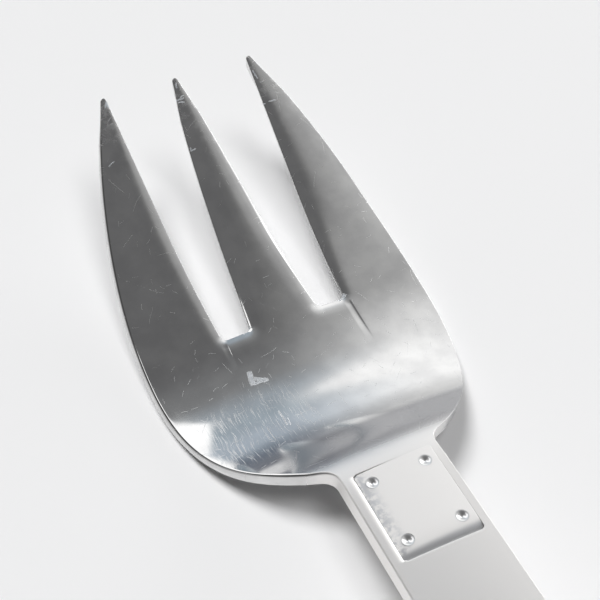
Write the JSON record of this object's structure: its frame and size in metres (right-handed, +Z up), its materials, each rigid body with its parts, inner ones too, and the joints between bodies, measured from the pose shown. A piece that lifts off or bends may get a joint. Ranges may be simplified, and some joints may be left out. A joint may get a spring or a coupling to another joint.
{
  "type": "table fork",
  "caption": "Stainless steel table fork with long tapering tines, a shallow leaf-shaped bowl, a riveted inlay plate on the neck and a flat strap handle.",
  "frame": {"origin": "on the table under the middle of the fork's length, with the fork lying face up", "axes": "+Y along the fork towards the tine tips, +X to the right of the face, +Z up"},
  "size_m": [0.029, 0.178, 0.0124],
  "materials": {
    "polished_steel": "polished stainless steel with fine scratches",
    "satin_steel": "satin stainless steel",
    "bright_steel": "bright stainless steel"
  },
  "bodies": {
    "root": {"fork_body": "polished_steel", "inlay_plate": "satin_steel", "rivet_front_left": "bright_steel", "rivet_front_right": "bright_steel", "rivet_back_left": "bright_steel", "rivet_back_right": "bright_steel"}
  },
  "joints": []
}
